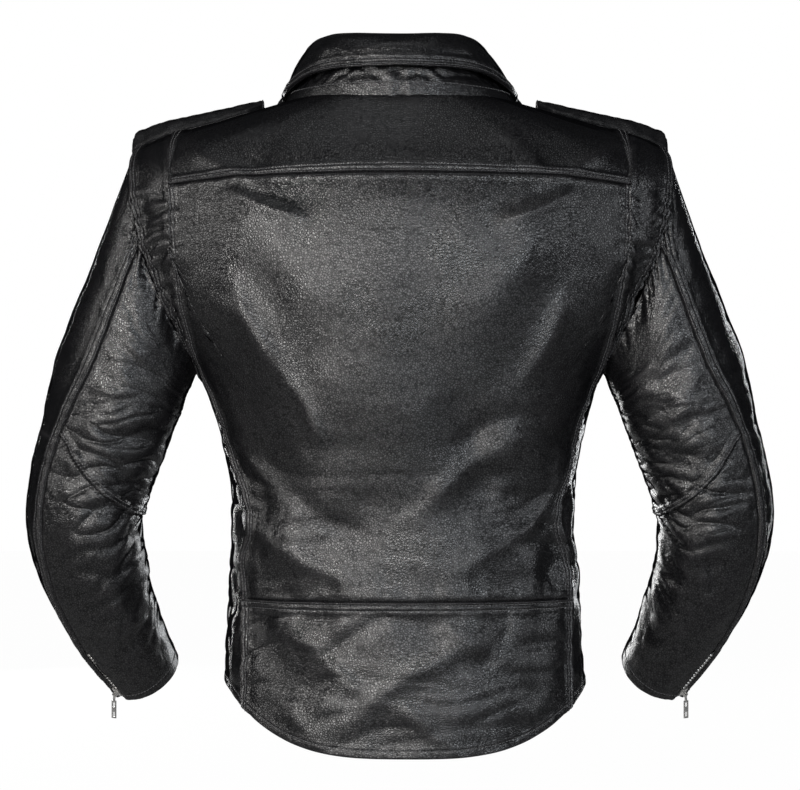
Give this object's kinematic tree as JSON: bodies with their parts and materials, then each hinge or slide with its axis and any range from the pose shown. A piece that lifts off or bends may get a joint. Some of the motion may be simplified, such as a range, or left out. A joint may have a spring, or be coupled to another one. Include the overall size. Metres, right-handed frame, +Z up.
{
  "type": "leather riding jacket",
  "caption": "Waist-length leather riding jacket with fold-down collar, yoke, action-back pleats, shoulder straps, offset front zip, lapels, zipped pockets and zipped cuffs.",
  "frame": {"origin": "centre of the eye of the hanger loop, inside the back of the neck", "axes": "+Z up; the front of the jacket faces -Y and the back faces +Y; +X is the wearer's left"},
  "size_m": [0.7638, 0.2591, 0.7166],
  "materials": {
    "shell_leather": "pebbled cowhide with a satin finish",
    "trim_leather": "smooth leather strap",
    "lining_cloth": "black satin lining",
    "zip_tape": "woven tape",
    "zip_metal": "polished nickel",
    "snap_metal": "satin nickel"
  },
  "bodies": {
    "torso": {"back_yoke": "shell_leather", "back_panel": "shell_leather", "lower_back_panel": "shell_leather", "left_back_pleat": "shell_leather", "right_back_pleat": "shell_leather", "left_side_panel": "shell_leather", "right_side_panel": "shell_leather", "left_front_panel": "shell_leather", "right_front_panel": "shell_leather", "back_lining": "lining_cloth", "left_front_lining": "lining_cloth", "right_front_lining": "lining_cloth", "neck_facing": "trim_leather", "hanger_loop": "trim_leather", "collar_stand": "shell_leather", "collar_leaf": "shell_leather", "left_lapel": "shell_leather", "right_lapel": "shell_leather", "collar_and_lapel_snaps": "snap_metal", "strap_studs": "snap_metal", "left_sleeve_head": "shell_leather", "right_sleeve_head": "shell_leather", "front_zip_tapes": "zip_tape", "front_zip_teeth": "zip_metal", "pocket_welts": "shell_leather", "pocket_bags": "lining_cloth", "pocket_zip_tapes": "zip_tape", "pocket_zip_teeth": "zip_metal"},
    "left_upper_arm": {"left_upper_sleeve_top": "shell_leather", "left_upper_sleeve_under": "shell_leather", "left_upper_sleeve_lining": "lining_cloth"},
    "left_forearm": {"left_forearm_top": "shell_leather", "left_forearm_under": "shell_leather", "left_forearm_lining": "lining_cloth", "left_cuff_zip_tape": "zip_tape", "left_cuff_zip_teeth": "zip_metal"},
    "left_epaulette": {"left_epaulette": "shell_leather", "left_epaulette_snap": "snap_metal"},
    "right_upper_arm": {"right_upper_sleeve_top": "shell_leather", "right_upper_sleeve_under": "shell_leather", "right_upper_sleeve_lining": "lining_cloth"},
    "right_forearm": {"right_forearm_top": "shell_leather", "right_forearm_under": "shell_leather", "right_forearm_lining": "lining_cloth", "right_cuff_zip_tape": "zip_tape", "right_cuff_zip_teeth": "zip_metal"},
    "right_epaulette": {"right_epaulette": "shell_leather", "right_epaulette_snap": "snap_metal"},
    "front_zip_slider": {"front_zip_slider": "zip_metal"},
    "front_zip_pull": {"front_zip_pull": "zip_metal"},
    "left_cuff_slider": {"left_cuff_slider": "zip_metal"},
    "left_cuff_pull": {"left_cuff_pull": "zip_metal"},
    "right_cuff_slider": {"right_cuff_slider": "zip_metal"},
    "right_cuff_pull": {"right_cuff_pull": "zip_metal"},
    "left_pocket_slider": {"left_pocket_slider": "zip_metal"},
    "left_pocket_pull": {"left_pocket_pull": "zip_metal"},
    "right_pocket_slider": {"right_pocket_slider": "zip_metal"},
    "right_pocket_pull": {"right_pocket_pull": "zip_metal"},
    "chest_pocket_slider": {"chest_pocket_slider": "zip_metal"},
    "chest_pocket_pull": {"chest_pocket_pull": "zip_metal"}
  },
  "joints": [
    {"name": "left_shoulder_raise", "type": "hinge", "parent": "torso", "child": "left_upper_arm", "pos_m": [0.24, -0.062, -0.105], "axis": [0, -1, 0], "range_deg": [0, 30]},
    {"name": "right_shoulder_raise", "type": "hinge", "parent": "torso", "child": "right_upper_arm", "pos_m": [-0.24, -0.062, -0.105], "axis": [0, 1, 0], "range_deg": [0, 30]},
    {"name": "left_elbow_bend", "type": "hinge", "parent": "left_upper_arm", "child": "left_forearm", "pos_m": [0.322, -0.071, -0.421], "axis": [-0.9988, 0, 0.0491], "range_deg": [-10, 50]},
    {"name": "right_elbow_bend", "type": "hinge", "parent": "right_upper_arm", "child": "right_forearm", "pos_m": [-0.322, -0.071, -0.421], "axis": [-0.9988, 0, -0.0491], "range_deg": [-10, 50]},
    {"name": "left_epaulette_lift", "type": "hinge", "parent": "torso", "child": "left_epaulette", "pos_m": [0.259, -0.066, -0.01904], "axis": [0, 1, 0], "range_deg": [0, 120]},
    {"name": "right_epaulette_lift", "type": "hinge", "parent": "torso", "child": "right_epaulette", "pos_m": [-0.259, -0.066, -0.01904], "axis": [0, -1, 0], "range_deg": [0, 120]},
    {"name": "front_zip_slide", "type": "slide", "parent": "torso", "child": "front_zip_slider", "axis": [0.1423, 0.003, -0.9898], "range_m": [0, 0.2439]},
    {"name": "front_pull_swing", "type": "hinge", "parent": "front_zip_slider", "child": "front_zip_pull", "pos_m": [-0.04718, -0.18376, -0.33941], "axis": [-0.9879, 0.0635, -0.1418], "range_deg": [0, 150]},
    {"name": "left_cuff_zip_slide", "type": "slide", "parent": "left_forearm", "child": "left_cuff_slider", "axis": [0.4563, 0.5633, 0.6888], "range_m": [0, 0.0556]},
    {"name": "left_cuff_pull_swing", "type": "hinge", "parent": "left_cuff_slider", "child": "left_cuff_pull", "pos_m": [0.29844, -0.11735, -0.59874], "axis": [0.6856, -0.716, 0.1314], "range_deg": [-46, 104]},
    {"name": "right_cuff_zip_slide", "type": "slide", "parent": "right_forearm", "child": "right_cuff_slider", "axis": [-0.4563, 0.5633, 0.6888], "range_m": [0, 0.0556]},
    {"name": "right_cuff_pull_swing", "type": "hinge", "parent": "right_cuff_slider", "child": "right_cuff_pull", "pos_m": [-0.29844, -0.11735, -0.59874], "axis": [0.6856, 0.716, -0.1314], "range_deg": [-46, 104]},
    {"name": "left_pocket_zip_slide", "type": "slide", "parent": "torso", "child": "left_pocket_slider", "axis": [-0.1621, -0.0779, -0.9837], "range_m": [0, 0.1165]},
    {"name": "left_pocket_pull_swing", "type": "hinge", "parent": "left_pocket_slider", "child": "left_pocket_pull", "pos_m": [0.12815, -0.15573, -0.37361], "axis": [-0.8797, -0.4402, 0.1799], "range_deg": [0, 150]},
    {"name": "right_pocket_zip_slide", "type": "slide", "parent": "torso", "child": "right_pocket_slider", "axis": [0.1621, -0.0779, -0.9837], "range_m": [0, 0.1165]},
    {"name": "right_pocket_pull_swing", "type": "hinge", "parent": "right_pocket_slider", "child": "right_pocket_pull", "pos_m": [-0.12815, -0.15573, -0.37361], "axis": [-0.8797, 0.4402, -0.1799], "range_deg": [0, 150]},
    {"name": "chest_pocket_zip_slide", "type": "slide", "parent": "torso", "child": "chest_pocket_slider", "axis": [-0.5808, -0.0905, -0.809], "range_m": [0, 0.0859]},
    {"name": "chest_pocket_pull_swing", "type": "hinge", "parent": "chest_pocket_slider", "child": "chest_pocket_pull", "pos_m": [0.20461, -0.15022, -0.19411], "axis": [-0.6292, -0.5806, 0.5167], "range_deg": [0, 150]}
  ]
}
